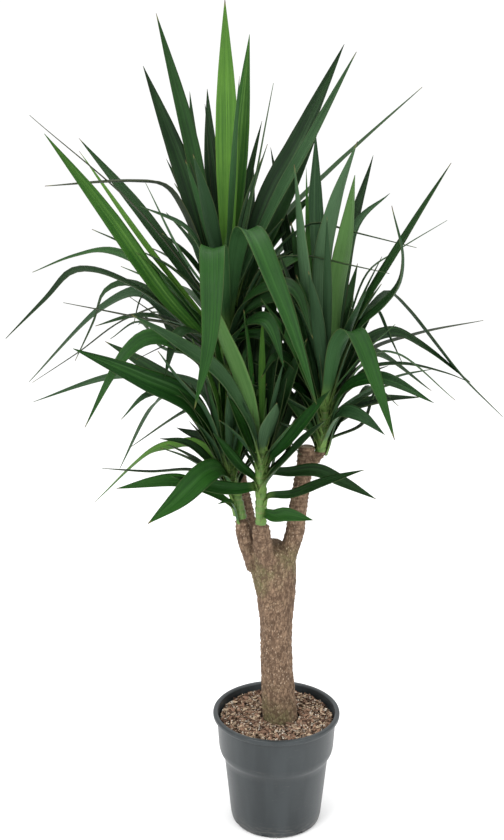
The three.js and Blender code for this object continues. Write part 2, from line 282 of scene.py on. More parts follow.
@dataclass(frozen=True)
class BladeFinish:
    """A waxy strap leaf: parallel veins, pale foot, painted highlight along the midrib, painted sheen
    in streaks, bloomed underside, dry point.
    """

    name: str
    dark: Colour
    light: Colour
    under: Colour
    foot: Colour = (0.150, 0.260, 0.060)
    margin: Colour = (0.16, 0.16, 0.06)
    yellowed: Colour = (0.20, 0.19, 0.06)
    dried: Colour = (0.09, 0.055, 0.03)
    speck: Colour = (0.24, 0.20, 0.09)
    rough: float = 0.42

    def build(self) -> bpy.types.Material:
        """Returns the leaf material."""
        paint = Paint(self.name)
        along, across = paint.chart()
        place = paint.place()
        beneath = paint.node("ShaderNodeAttribute", {"attribute_name": "underside"}, output="Fac")
        own = paint.node("ShaderNodeAttribute", {"attribute_name": "leaf_shade"}, output="Fac")
        off = (across - 0.5).magnitude() * 2.0
        veins = paint.grain(paint.vector(across * 26.0, along * 1.4, own * 9.0), 1.0, 4.0, 0.6)
        fine = paint.grain(paint.vector(across * 90.0, along * 5.0, own * 5.0), 1.0, 2.0, 0.5)
        cloud = paint.grain(place, 16.0, 3.0, 0.6)
        bands = paint.grain(paint.vector(across * 7.0, along * 0.8, own * 7.0), 1.0, 2.0, 0.5)
        tone = veins * 1.2 + bands * 0.7 + cloud * 0.4 + own * 0.5 - 0.95
        face = paint.blend(tone.step(0.05, 0.85), self.dark, self.light)
        face = paint.blend(fine.step(0.62, 0.4) * 0.45, face, self.dark)
        # painted sheen: a brighter, whitened copy of the light green laid in streaks where bands and
        # veins meet, standing in for light glancing off the wax
        painted_sheen = tuple(lerp(c, 1.0, 0.06) * 1.25 for c in self.light)
        face = paint.blend(bands.step(0.58, 0.75) * veins.step(0.5, 0.62) * 0.5, face, painted_sheen)
        # painted highlight: the strip along the midrib is blended toward the light green, where light
        # catches the fold
        face = paint.blend(off.step(0.09, 0.0) * 0.35, face, self.light)
        back = paint.blend(veins.step(0.3, 0.7), self.under,
                           tuple(lerp(u, d, 0.45) for u, d in zip(self.under, self.dark)))
        face = paint.blend(beneath, face, back)
        face = paint.blend(along.step(0.17, 0.02) * 0.8, face, self.foot)
        face = paint.blend(off.step(0.94, 1.0) * 0.3, face, self.margin)
        ragged = along + (fine - 0.5) * 0.03 + (cloud - 0.5) * 0.05
        aged = own.step(0.35, 0.6)
        yellow = ragged.step(0.965, 0.99) * aged
        face = paint.blend(yellow * 0.6, face, self.yellowed)
        dry = ragged.step(0.985, 0.997) * aged
        face = paint.blend(dry, face, self.dried)
        specks = paint.cells(place, 210.0).step(0.07, 0.03) * cloud.step(0.55, 0.7)
        face = paint.blend(specks * 0.5, face, self.speck)
        rough = beneath * 0.14 + (fine - 0.5) * 0.2 + dry * 0.3 + self.rough
        height = veins * 0.6 + fine * 0.4
        return paint.finish(height, 0.0012, Base_Color=face, Roughness=rough,
                            Specular_IOR_Level=0.14)


@dataclass(frozen=True)
class StemFinish:
    """Living stem: pale green rings between papery brown leaf scars."""

    name: str = "green_stem"
    green: Colour = (0.065, 0.155, 0.028)
    pale: Colour = (0.145, 0.255, 0.060)
    paper: Colour = (0.20, 0.19, 0.08)

    def build(self) -> bpy.types.Material:
        """Returns the stem material."""
        paint = Paint(self.name)
        place = paint.place()
        along, across = paint.chart()
        cloud = paint.grain(place, 60.0, 4.0)
        streak = paint.grain(paint.vector(across * 40.0, along * 3.0), 1.0, 3.0)
        ring = (along * 88.0 + cloud * 2.2).sine()
        face = paint.blend(streak.step(0.35, 0.65), self.green, self.pale)
        face = paint.blend(ring.step(0.75, 0.98) * 0.5, face, self.paper)
        face = paint.blend(cloud.step(0.6, 0.72) * 0.35, face, self.paper)
        return paint.finish(streak * 0.6 + ring * 0.4, 0.0006, Base_Color=face,
                            Roughness=cloud * 0.3 + 0.4, Specular_IOR_Level=0.4)


@dataclass(frozen=True)
class BarkFinish:
    """Weathered cane bark with tan flecks, dark fissures, green algae low down."""

    name: str = "cane_bark"
    brown: Colour = (0.255, 0.170, 0.110)
    dark: Colour = (0.080, 0.048, 0.030)
    tan: Colour = (0.56, 0.44, 0.32)
    moss: Colour = (0.13, 0.13, 0.055)
    cut: Colour = (0.45, 0.36, 0.26)

    def build(self) -> bpy.types.Material:
        """Returns the bark material."""
        paint = Paint(self.name)
        place = paint.place()
        pit = paint.node("ShaderNodeAttribute", {"attribute_name": "furrow"}, output="Fac")
        sawn = paint.node("ShaderNodeAttribute", {"attribute_name": "sawn"}, output="Fac")
        tall = paint.stretch(place, (1.0, 1.0, 0.5))
        grain = paint.grain(tall, 170.0, 6.0, 0.7)
        flake = paint.cells(tall, 260.0)
        crust = paint.grain(place, 330.0, 4.0, 0.6)
        broad = paint.grain(place, 16.0, 3.0)
        height = paint.axes(place)[2]
        face = paint.blend(grain.step(0.34, 0.66), self.dark, self.brown)
        face = paint.blend(flake.step(0.34, 0.08) * broad.step(0.35, 0.6) * 0.75, face, self.tan)
        face = paint.blend(crust.step(0.6, 0.75) * 0.6, face, self.tan)
        damp = height.step(0.30, 0.215) * 0.6 + (height - 0.5).magnitude().step(0.07, 0.02) * 0.55
        face = paint.blend(damp * broad.step(0.4, 0.62), face, self.moss)
        face = paint.blend(pit.step(0.4, 0.95) * 0.7, face, self.dark)
        face = paint.blend(sawn * grain.step(0.75, 0.35), face, self.cut)
        relief = grain * 0.5 + crust * 0.25 + flake * 0.25
        return paint.finish(relief, 0.0016, Base_Color=face, Roughness=crust * 0.15 + 0.8,
                            Specular_IOR_Level=0.25)


@dataclass(frozen=True)
class PlasticFinish:
    """Dark moulded plastic with faint flow marks, scuffs and settled dust."""

    name: str = "pot_plastic"
    dark: Colour = (0.019, 0.024, 0.026)
    light: Colour = (0.033, 0.040, 0.043)
    dust: Colour = (0.24, 0.22, 0.19)

    def build(self) -> bpy.types.Material:
        """Returns the plastic material."""
        paint = Paint(self.name)
        place = paint.place()
        flow = paint.grain(paint.stretch(place, (1.0, 1.0, 0.15)), 22.0, 4.0)
        fine = paint.grain(place, 900.0, 2.0)
        scuff = paint.grain(paint.stretch(place, (1.0, 1.0, 6.0)), 45.0, 6.0, 0.7)
        height = paint.axes(place)[2]
        face = paint.blend(flow.step(0.3, 0.7), self.dark, self.light)
        marks = scuff.step(0.6, 0.74)
        face = paint.blend(marks * 0.22, face, self.dust)
        low = height.step(0.035, 0.0) * scuff.step(0.45, 0.65)
        face = paint.blend(low * 0.3, face, self.dust)
        return paint.finish(fine * 0.5 + flow * 0.5, 0.0002, Base_Color=face,
                            Roughness=flow * 0.12 + marks * 0.18 + 0.3, Specular_IOR_Level=0.38)


@dataclass(frozen=True)
class CrumbFinish:
    """Bark, wood or pumice of the top dressing, each piece in its own shade."""

    name: str
    dark: Colour
    light: Colour
    scale: float = 260.0
    tall: float = 0.3

    def build(self) -> bpy.types.Material:
        """Returns the crumb material."""
        paint = Paint(self.name)
        place = paint.place()
        own = paint.node("ShaderNodeAttribute", {"attribute_name": "crumb_shade"}, output="Fac")
        grain = paint.grain(paint.stretch(place, (1.0, self.tall, 1.0)), self.scale, 5.0, 0.65)
        pores = paint.cells(place, self.scale * 3.0)
        tone = own * 0.8 + grain * 0.6 - 0.2
        face = paint.blend(tone.step(0.05, 0.9), self.dark, self.light)
        face = paint.blend(pores.step(0.25, 0.05) * 0.3, face, self.dark)
        return paint.finish(grain * 0.7 + pores * 0.3, 0.0008, Base_Color=face,
                            Roughness=grain * 0.1 + 0.85, Specular_IOR_Level=0.2)


# ------------------------------------------------------------------ making pieces
def settle_piece(name: str, bm: bmesh.types.BMesh, materials: Sequence[bpy.types.Material],
                 smooth: bool = True) -> bpy.types.Object:
    """Turns a bmesh into a finished piece that rides with the plant.

    Args:
        name: The piece's name.
        bm: Its mesh, which is freed.
        materials: Its materials.
        smooth: Whether it is smoothly shaded.

    Returns:
        The new object.
    """
    mesh = bpy.data.meshes.new(name)
    bm.to_mesh(mesh)
    bm.free()
    for material in materials:
        mesh.materials.append(material)
    mesh.shade_smooth() if smooth else mesh.shade_flat()
    piece = bpy.data.objects.new(name, mesh)
    bpy.context.scene.collection.objects.link(piece)
    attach(piece, "root")
    LOG.info("%s: %d faces", name, len(mesh.polygons))
    return piece


class Spine:
    """A smooth line through a few points, read by its share of length."""

    FINE = 24

    def __init__(self, points: Sequence[Vector]) -> None:
        """Lays the line out.

        Args:
            points: The points it passes through, in metres.
        """
        ends = [points[0] * 2 - points[1], *points, points[-1] * 2 - points[-2]]
        self.line: list[Vector] = []
        for p0, p1, p2, p3 in zip(ends, ends[1:], ends[2:], ends[3:]):
            t1 = (p1 - p0).length ** 0.5
            t2 = t1 + (p2 - p1).length ** 0.5
            t3 = t2 + (p3 - p2).length ** 0.5
            for k in range(self.FINE):
                t = lerp(t1, t2, k / self.FINE)
                a1 = p0.lerp(p1, t / t1)
                a2 = p1.lerp(p2, (t - t1) / (t2 - t1))
                a3 = p2.lerp(p3, (t - t2) / (t3 - t2))
                b1 = a1.lerp(a2, t / t2)
                b2 = a2.lerp(a3, (t - t1) / (t3 - t1))
                self.line.append(b1.lerp(b2, (t - t1) / (t2 - t1)))
        self.line.append(points[-1].copy())
        self.run = [0.0]
        for a, b in zip(self.line, self.line[1:]):
            self.run.append(self.run[-1] + (b - a).length)

    @property
    def length(self) -> float:
        """The line's length in metres."""
        return self.run[-1]

    def at(self, share: float) -> Vector:
        """Returns the point a share of the way along."""
        goal = min(max(share, 0.0), 1.0) * self.length
        k = 1
        while k < len(self.run) - 1 and self.run[k] < goal:
            k += 1
        span = max(self.run[k] - self.run[k - 1], 1e-9)
        return self.line[k - 1].lerp(self.line[k], (goal - self.run[k - 1]) / span)

    def heading(self, share: float) -> Vector:
        """Returns the unit direction of the line there."""
        return (self.at(share + 0.012) - self.at(share - 0.012)).normalized()


@dataclass
class Strap:
    """One strap leaf, from clasping foot to drawn-out point."""

    spine: Spine
    width: float
    turn: float
    seed: int
    stations: int = 40
    across: int = 8
    thick: float = 0.0016
    outline: tuple[tuple[float, float], ...] = (
        (0.0, 0.72), (0.05, 0.6), (0.12, 0.58), (0.25, 0.74), (0.4, 0.94), (0.52, 1.0), (0.64, 0.9),
        (0.76, 0.67), (0.88, 0.36), (0.95, 0.16), (1.0, 0.02))
    gutter: tuple[tuple[float, float], ...] = (
        (0.0, 0.6), (0.15, 0.46), (0.4, 0.32), (0.7, 0.3), (1.0, 0.42))

    def add_to(self, bm: bmesh.types.BMesh) -> None:
        """Adds the leaf to a mesh, with its UV map and underside mark.

        Args:
            bm: The mesh that receives it.
        """
        chart = bm.loops.layers.uv.get("UVMap") or bm.loops.layers.uv.new("UVMap")
        under = bm.verts.layers.float.get("underside") or bm.verts.layers.float.new("underside")
        shade = bm.verts.layers.float.get("leaf_shade") or bm.verts.layers.float.new("leaf_shade")
        tops = bmesh.ops.create_grid(bm, x_segments=self.stations, y_segments=self.across,
                                     size=0.5)["verts"]
        faces = list({face for vert in tops for face in vert.link_faces})
        grown = bmesh.ops.extrude_face_region(bm, geom=faces)["geom"]
        lows = [item for item in grown if isinstance(item, bmesh.types.BMVert)]
        verts = [*tops, *lows]
        skin = list({face for vert in verts for face in vert.link_faces})
        for face in skin:
            for loop in face.loops:
                loop[chart].uv = (loop.vert.co.x + 0.5, loop.vert.co.y + 0.5)
        chance = random.Random(self.seed)
        own, phase, ripple = chance.random(), chance.uniform(0, 6.28), chance.uniform(0.2, 1.0)
        rings = self._rings(chance)
        for group, low in ((tops, 0.0), (lows, 1.0)):
            for vert in group:
                u, w = vert.co.x + 0.5, vert.co.y * 2.0
                centre, side, lift, half = rings[round(u * self.stations)]
                wave = math.sin(u * 23.0 + phase + (1.5 if w > 0 else 0.0)) * 0.02 * ripple
                rise = half * (table(self.gutter, u) * abs(w) ** 1.35 + wave * abs(w))
                wall = self.thick * (1.0 - 0.7 * abs(w)) * (1.0 - 0.6 * u) + 0.0003
                vert.co = centre + side * (half * w) + lift * (rise - low * wall)
                vert[under] = low
                vert[shade] = own
        bmesh.ops.recalc_face_normals(bm, faces=skin)

    def _rings(self, chance: random.Random) -> list[tuple[Vector, Vector, Vector, float]]:
        """Works out the frame of each cross line.

        Args:
            chance: The leaf's own random numbers.

        Returns:
            Centre, sideways and upper directions and half width, foot to point.
        """
        chord = (self.spine.at(1.0) - self.spine.at(0.0)).normalized()
        side = chord.cross(UP).normalized()
        hand = -1.0 if chord.x < 0 else 1.0
        side = Matrix.Rotation(math.radians(self.turn) * hand, 3, chord) @ side
        twist = chance.uniform(-0.35, 0.35)
        rings = []
        for i in range(self.stations + 1):
            u = i / self.stations
            run = self.spine.heading(u)
            own = Matrix.Rotation(twist * (u - 0.4), 3, run) @ (side - run * side.dot(run))
            own.normalize()
            half = self.width / 2 * table(self.outline, u)
            rings.append((self.spine.at(u), own, own.cross(run), half))
        return rings


# ------------------------------------------------------------------ pot
@dataclass
class NurseryPot:
    """Round nursery pot: rolled lip, deep band, swept neck, tapering body, drained foot."""

    height: float = 220.0
    rim: float = 120.0
    band: float = 112.5
    band_low: float = 108.5
    neck: float = 99.0
    foot: float = 86.0
    wall: float = 3.0
    disc: float = 30.0
    ring: float = 66.0
    recess: float = 5.0
    floor: float = 3.5
    segments: int = 144
    holes: int = 8
    drain_circle: float = 48.0
    drain_radius: float = 7.0
    notch: tuple[float, float, float] = (16.0, 12.0, 8.0)

    def outline(self) -> list[tuple[float, float, float]]:
        """Returns the wall's section: radius, height and corner rounding, outside first."""
        h, w = self.height, self.wall
        low = self.recess + self.floor
        return [(0, 0, 0), (self.disc, 0, 1.5), (self.disc + 3, self.recess, 1.5),
                (self.ring - 3, self.recess, 1.5), (self.ring, 0, 1.5), (self.foot - 2, 0, 6),
                (self.foot + 0.5, 12, 3), (self.neck - 1, 124, 8), (self.neck + 1.5, 133, 4),
                (self.band_low - 2, 142, 6), (self.band_low, 151, 2.5), (self.band, h - 12, 1.5),
                (self.band + 2, h - 9.5, 1), (self.rim - 1, h - 8.5, 1.5), (self.rim, h - 4, 2.5),
                (self.rim - 1, h, 2.6), (self.band - w + 1, h, 3), (self.band - w, h - 12, 2),
                (self.band_low - w, 150, 5), (self.neck - w, 130, 6), (self.foot - w, low + 3, 3),
                (self.foot - w - 6, low, 3), (0, low, 0)]

    def _section(self) -> list[Vector]:
        """Returns the outline with its corners rounded, in metres."""
        raw = [(Vector((r, 0, z)), c) for r, z, c in self.outline()]
        points = [raw[0][0]]
        for (before, _), (corner, cut), (after, _) in zip(raw, raw[1:], raw[2:]):
            reach = min(cut, (before - corner).length * 0.45, (after - corner).length * 0.45)
            start = corner + (before - corner).normalized() * reach
            end = corner + (after - corner).normalized() * reach
            for k in range(5):
                t = k / 4
                points.append(start.lerp(corner, t).lerp(corner.lerp(end, t), t))
        points.append(raw[-1][0])
        return [point * MM for point in points]

    def _cutters(self) -> bmesh.types.BMesh:
        """Returns the drills of the drain holes and the notches in the foot's edge."""
        bm = bmesh.new()
        for i in range(self.holes):
            spin = Matrix.Rotation(math.tau * i / self.holes, 4, "Z")
            hole = Matrix.Translation((self.drain_circle * MM, 0, self.recess * MM))
            bmesh.ops.create_cone(bm, cap_ends=True, segments=24, radius1=self.drain_radius * MM,
                                  radius2=self.drain_radius * MM, depth=0.02, matrix=spin @ hole)
            turn = Matrix.Rotation(math.radians(30) + math.tau * i / self.holes, 4, "Z")
            slot = Matrix.Translation(((self.foot + 4) * MM, 0, 0.0035))
            shape = Matrix.Diagonal((*(side * MM for side in self.notch), 1))
            bmesh.ops.create_cube(bm, size=1.0, matrix=turn @ slot @ shape)
        return bm

    def build(self, finish: bpy.types.Material) -> bpy.types.Object:
        """Makes the pot.

        Args:
            finish: Its plastic.

        Returns:
            The pot.
        """
        bm = bmesh.new()
        verts = [bm.verts.new(point) for point in self._section()]
        edges = [bm.edges.new(pair) for pair in zip(verts, verts[1:])]
        bmesh.ops.spin(bm, geom=[*verts, *edges], cent=(0, 0, 0), axis=(0, 0, 1),
                       angle=math.tau, steps=self.segments, use_merge=True)
        bmesh.ops.remove_doubles(bm, verts=bm.verts, dist=1e-6)
        bmesh.ops.recalc_face_normals(bm, faces=bm.faces)
        pot = settle_piece("nursery_pot_shell", bm, [finish])
        mesh = bpy.data.meshes.new("pot_cutters")
        cut = self._cutters()
        cut.to_mesh(mesh)
        cut.free()
        tool = bpy.data.objects.new("pot_cutters", mesh)
        bpy.context.scene.collection.objects.link(tool)
        bore = pot.modifiers.new("drainage", "BOOLEAN")
        bore.operation, bore.object, bore.solver = "DIFFERENCE", tool, "EXACT"
        bake_modifiers(pot)
        bpy.data.objects.remove(tool)
        pot.data.shade_smooth()
        pot.data.set_sharp_from_angle(angle=math.radians(40))
        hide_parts("nursery_pot")
        return pot


def bake_modifiers(piece: bpy.types.Object) -> None:
    """Replaces a piece's mesh by what its modifiers make of it."""
    graph = bpy.context.evaluated_depsgraph_get()
    mesh = bpy.data.meshes.new_from_object(piece.evaluated_get(graph))
    piece.modifiers.clear()
    piece.data = mesh


# ------------------------------------------------------------------ potting mix
@dataclass
class PottingMix:
    """Compost under a loose dressing of bark, wood chips and pumice."""

    radius: float = 0.1085
    top: float = 0.2085
    trunk: tuple[float, float, float] = (0.007, 0.0, 0.037)
    base: float = 0.0095
    coarse: float = 0.0035  # crumbs over this half length get a finer form

    def surface(self, x: float, y: float) -> float:
        """Returns the height of the mix at a place."""
        lump = noise.fractal(Vector((x * 28, y * 28, 0.3)), 1.0, 2.0, 4)
        edge = ramp(math.hypot(x, y), 0.09, 0.108)
        return self.top + lump * 0.0022 - edge * 0.0035

    def _bed(self, finish: bpy.types.Material) -> bpy.types.Object:
        """Makes the body of the mix, uneven on top and resting on the pot's floor.

        Args:
            finish: Its compost.

        Returns:
            The bed.
        """
        lid = [Vector((self.radius * k / 16, 0, self.top)) for k in range(17)]
        side = [Vector((0.104, 0, 0.15)), Vector((0.095, 0, 0.128)), Vector((0.082, 0, 0.012)),
                Vector((0.079, 0, self.base)), Vector((0, 0, self.base))]
        bm = bmesh.new()
        verts = [bm.verts.new(point) for point in [*lid, *side]]
        edges = [bm.edges.new(pair) for pair in zip(verts, verts[1:])]
        bmesh.ops.spin(bm, geom=[*verts, *edges], cent=(0, 0, 0), axis=(0, 0, 1),
                       angle=math.tau, steps=96, use_merge=True)
        bmesh.ops.remove_doubles(bm, verts=bm.verts, dist=1e-6)
        for vert in bm.verts:
            if vert.co.z > self.top - 0.01:
                vert.co.z = self.surface(vert.co.x, vert.co.y) - 0.004
        bmesh.ops.recalc_face_normals(bm, faces=bm.faces)
        bed = settle_piece("compost_bed", bm, [finish])
        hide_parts("potting_mix")
        return bed

    def _crumbs(self, name: str, finish: bpy.types.Material, count: int, seed: int,
                sizes: tuple[float, float], shape: Colour, blocky: float) -> bpy.types.Object:
        """Scatters one sort of crumb over the bed.

        Args:
            name: The sort's name.
            finish: Its material.
            count: How many crumbs.
            seed: Start of its random numbers.
            sizes: Least and greatest half length in metres.
            shape: Proportions of a crumb.
            blocky: 0 for rounded crumbs, 1 for squared ones.

        Returns:
            All crumbs of the sort as one piece.
        """
        chance = random.Random(seed)
        bm = bmesh.new()
        shade = bm.verts.layers.float.new("crumb_shade")
        stem = Vector((self.trunk[0], self.trunk[1]))
        made = 0
        while made < count:
            reach = (self.radius - 0.002) * math.sqrt(chance.random())
            bearing = chance.uniform(0, math.tau)
            x, y = reach * math.cos(bearing), reach * math.sin(bearing)
            size = lerp(*sizes, chance.random() ** 2)
            clear = self.radius - 0.0015 - size * max(shape) * 0.8
            if (Vector((x, y)) - stem).length < self.trunk[2] + size * 0.3 or reach > clear:
                continue
            made += 1
            scale = [size * part * chance.uniform(0.7, 1.3) for part in shape]
            lift = self.surface(x, y) + chance.uniform(-0.003, 0.0025)
            pose = (Matrix.Translation((x, y, lift))
                    @ Matrix.Rotation(chance.uniform(0, 6.28), 4, "Z")
                    @ Matrix.Rotation(chance.gauss(0, 0.35), 4, "X")
                    @ Matrix.Rotation(chance.gauss(0, 0.3), 4, "Y") @ Matrix.Diagonal((*scale, 1)))
            fine = 2 if size > self.coarse else 1
            verts = bmesh.ops.create_icosphere(bm, subdivisions=fine, radius=1.0)["verts"]
            own, shift = chance.random(), Vector([chance.uniform(0, 99) for _ in range(3)])
            for vert in verts:
                square = vert.co / max(abs(part) for part in vert.co)
                vert.co = vert.co.lerp(square, blocky * 0.8)
                vert.co *= 1.0 + 0.42 * noise.noise(vert.co * 1.3 + shift)
                vert[shade] = own
            bmesh.ops.transform(bm, matrix=pose, verts=verts)
        return settle_piece(name, bm, [finish], smooth=False)

    def build(self) -> None:
        """Makes the bed and its dressing."""
        self._bed(CrumbFinish("compost", (0.016, 0.010, 0.006), (0.07, 0.045, 0.028), 90.0).build())
        bark = CrumbFinish("bark_chips", (0.05, 0.026, 0.017), (0.27, 0.165, 0.11)).build()
        wood = CrumbFinish("wood_chips", (0.17, 0.11, 0.07), (0.52, 0.40, 0.28)).build()
        stone = CrumbFinish("pumice", (0.28, 0.23, 0.18), (0.62, 0.55, 0.46), 400.0, 1.0).build()
        soil = CrumbFinish("compost_crumbs", (0.02, 0.012, 0.007), (0.12, 0.075, 0.045)).build()
        self._crumbs("compost_crumbs", soil, 1500, 5, (0.001, 0.003), (1.0, 0.8, 0.6), 0.2)
        self._crumbs("bark_chips", bark, 1500, 6, (0.002, 0.0062), (1.0, 0.5, 0.3), 0.6)
        self._crumbs("wood_chips", wood, 1500, 7, (0.0016, 0.0056), (1.0, 0.36, 0.25), 0.6)
        self._crumbs("pumice", stone, 1000, 8, (0.001, 0.0026), (1.0, 0.85, 0.7), 0.15)


# ------------------------------------------------------------------ trunk
@dataclass
class Trunk:
    """The cane: the frame's own trunk, refined and given bark relief."""

    voxel: float = 0.0017
    ring_gap: float = 0.0085
    wander_seed: int = 12

    def _relief(self, place: Vector) -> tuple[float, float]:
        """Returns the bark's lift in metres and how deep in a furrow the place is."""
        tall = Vector((place.x * 170, place.y * 170, place.z * 75))
        plates = noise.voronoi(tall + noise.noise_vector(place * 120) * 0.4)[0]
        crack = 1.0 - ramp(plates[1] - plates[0], 0.0, 0.35)
        fine = noise.fractal(place * 260, 1.0, 2.0, 4)
        broad = noise.noise(place * 22)
        arm = ramp(place.z, 0.54, 0.62)
        wander = noise.noise(place * 30) * 2.2
        ring = math.sin(place.z / self.ring_gap * math.tau + wander)
        scar = arm * max(0.0, ring) ** 3
        lift = -0.0011 * crack * (1 - 0.5 * arm) + 0.0008 * fine + 0.0014 * broad + 0.0016 * scar
        return lift, min(1.0, crack * (1 - 0.5 * arm) + arm * max(0.0, -ring) * 0.7)

    def build(self, frame: dict, finish: bpy.types.Material) -> bpy.types.Object:
        """Makes the trunk.

        Args:
            frame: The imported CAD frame.
            finish: Its bark.

        Returns:
            The trunk.
        """
        noise.seed_set(self.wander_seed)  # noise_vector follows the clock without it
        bm = bmesh.new()
        bm.from_mesh(frame["nodes"]["trunk"].data)
        bmesh.ops.remove_doubles(bm, verts=bm.verts, dist=1e-6)
        trunk = settle_piece("cane_trunk", bm, [finish])
        grid = trunk.modifiers.new("even", "REMESH")
        grid.mode, grid.voxel_size = "VOXEL", self.voxel
        soft = trunk.modifiers.new("soften", "SMOOTH")
        soft.factor, soft.iterations = 0.5, 8
        bake_modifiers(trunk)
        bm = bmesh.new()
        bm.from_mesh(trunk.data)
        bm.normal_update()
        furrow = bm.verts.layers.float.new("furrow")
        sawn = bm.verts.layers.float.new("sawn")
        for vert in bm.verts:
            lift, pit = self._relief(vert.co)
            flat = ramp(vert.normal.z, 0.75, 0.95) * ramp(vert.co.z, 0.58, 0.595)
            vert[furrow], vert[sawn] = pit * (1 - flat), flat
            vert.co += vert.normal * lift * (1 - 0.8 * flat)
        bm.to_mesh(trunk.data)
        bm.free()
        trunk.data.shade_smooth()
        if not trunk.data.materials:
            trunk.data.materials.append(finish)
        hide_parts("trunk")
        LOG.info("cane_trunk: %d faces after refining", len(trunk.data.polygons))
        return trunk


# ------------------------------------------------------------------ shoots and leaves
@dataclass(frozen=True)
class Shoot:
    """The axis of one green shoot, in millimetres."""

    foot: Colour
    crown: Colour
    radius: float

    def at(self, share: float) -> Vector:
        """Returns the axis point a share of the way up, in metres."""
        return Vector(self.foot).lerp(Vector(self.crown), share) * MM


SHOOTS = {
    "left": Shoot((-65, -14, 608.5), (-92, -18, 730), 10.0),
    "front": Shoot((-30, -37, 604.5), (-30, -52, 775), 10.5),
    "right": Shoot((78, 0, 728), (88, 4, 890), 9.5),
    "top": Shoot((-92, 47, 869.5), (-92, 50, 1040), 11.0),
}

EYE = Vector((-46, -1904, 1248))  # set-out point of the leaf routes, as in the CAD
REACH = 13.5  # from a shoot's axis to where a CAD leaf starts
CLASP = 16.0  # how far below that the leaf's sheathing foot begins
D, M, G, B, W = Tint.DEEP, Tint.MID, Tint.GREY, Tint.BRIGHT, Tint.DRY

